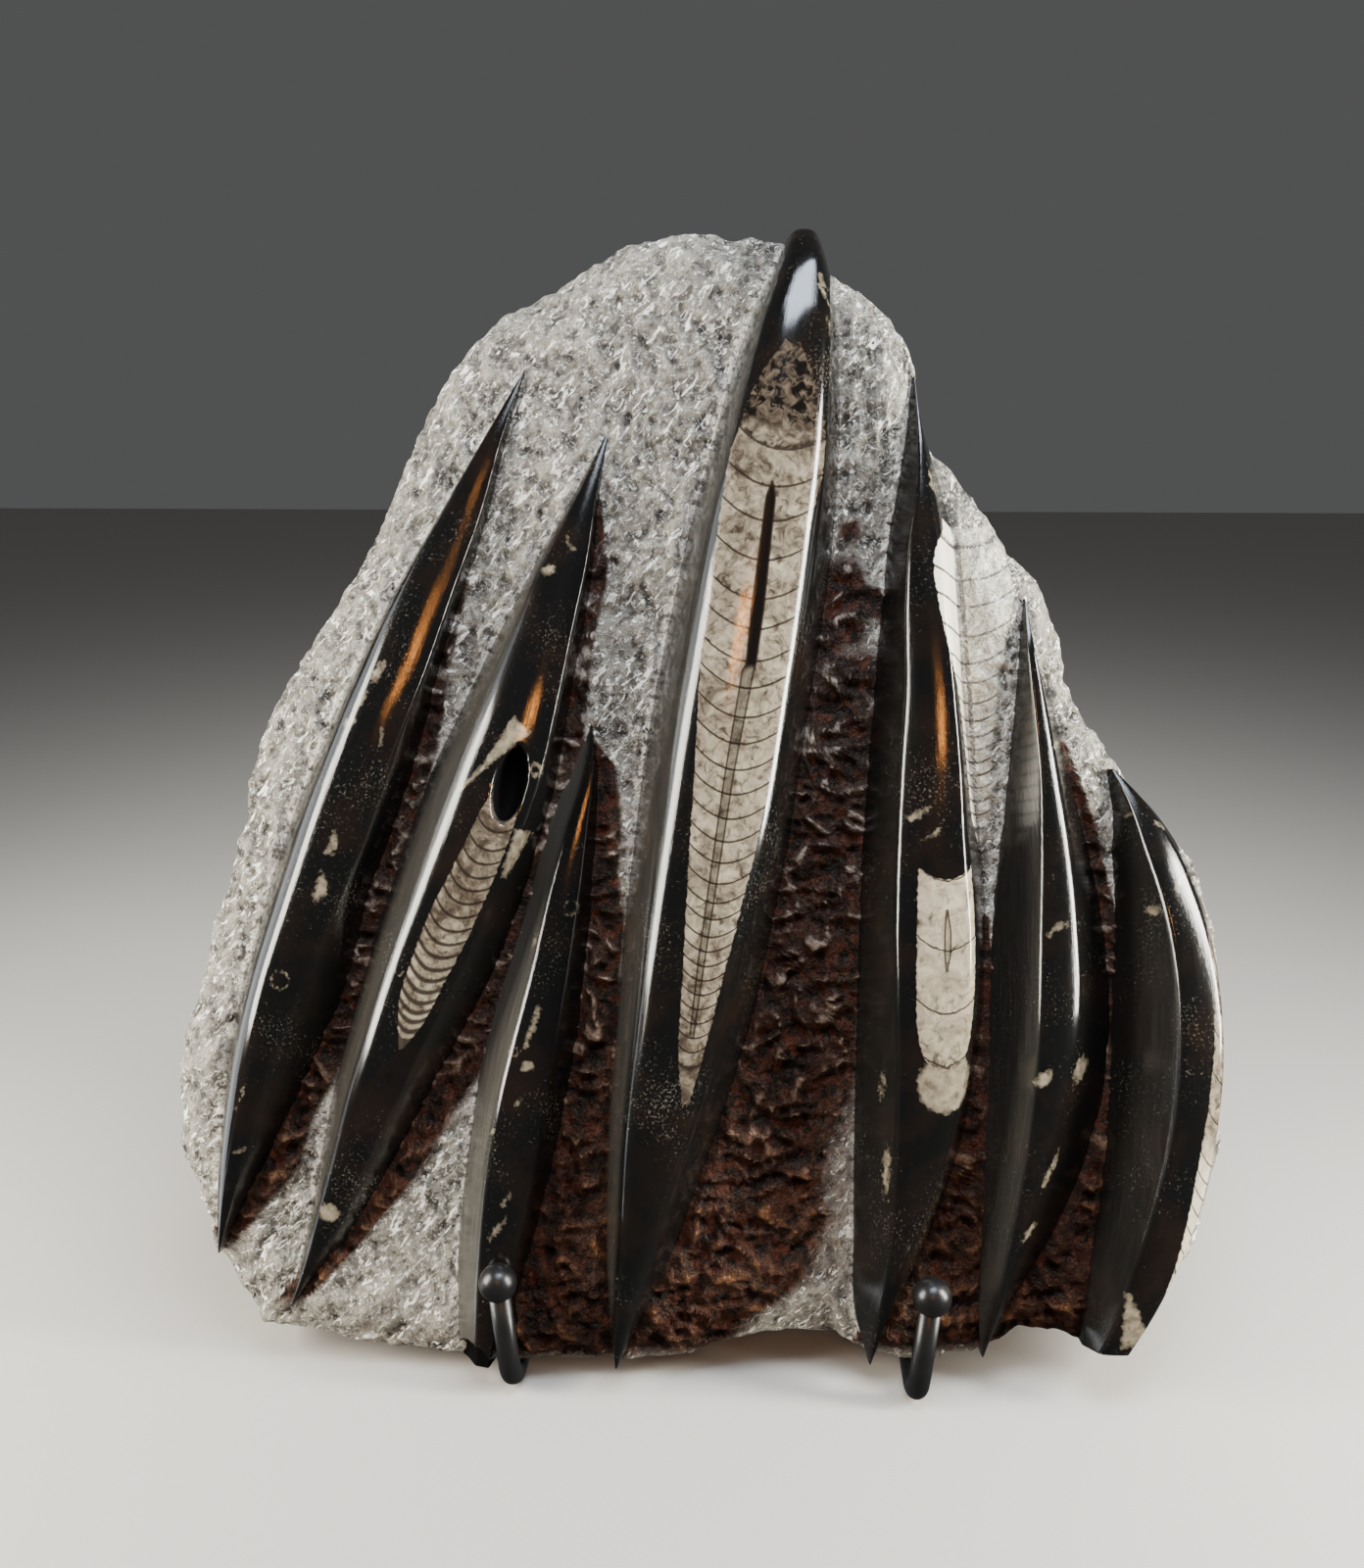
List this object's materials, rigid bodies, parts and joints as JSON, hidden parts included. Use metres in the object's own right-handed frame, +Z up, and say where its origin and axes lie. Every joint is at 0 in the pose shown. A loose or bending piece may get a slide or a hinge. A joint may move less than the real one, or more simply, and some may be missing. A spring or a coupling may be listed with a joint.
{
  "type": "orthoceras fossil plate on a display stand",
  "caption": "Slab of dark limestone carved with polished orthoceras ridges on a rough matrix, leaning back on a small black rod stand.",
  "frame": {"origin": "middle of the footprint's bounding box, on the table", "axes": "+Z up, the carved face looks along -Y and leans back towards +Y, +X to the viewer's right"},
  "size_m": [0.3416, 0.1582, 0.3615],
  "materials": {
    "rough_limestone": "rough, pecked",
    "polished_limestone": "polished",
    "black_rod": "satin"
  },
  "bodies": {
    "root": {"slab": "rough_limestone", "ridge_1": "polished_limestone", "ridge_2": "polished_limestone", "ridge_3": "polished_limestone", "ridge_4": "polished_limestone", "ridge_5": "polished_limestone", "ridge_6": "polished_limestone", "ridge_7": "polished_limestone", "left_side_rod": "black_rod", "right_side_rod": "black_rod", "left_ball": "black_rod", "right_ball": "black_rod", "lower_crossbar": "black_rod", "upper_crossbar": "black_rod"}
  },
  "joints": []
}
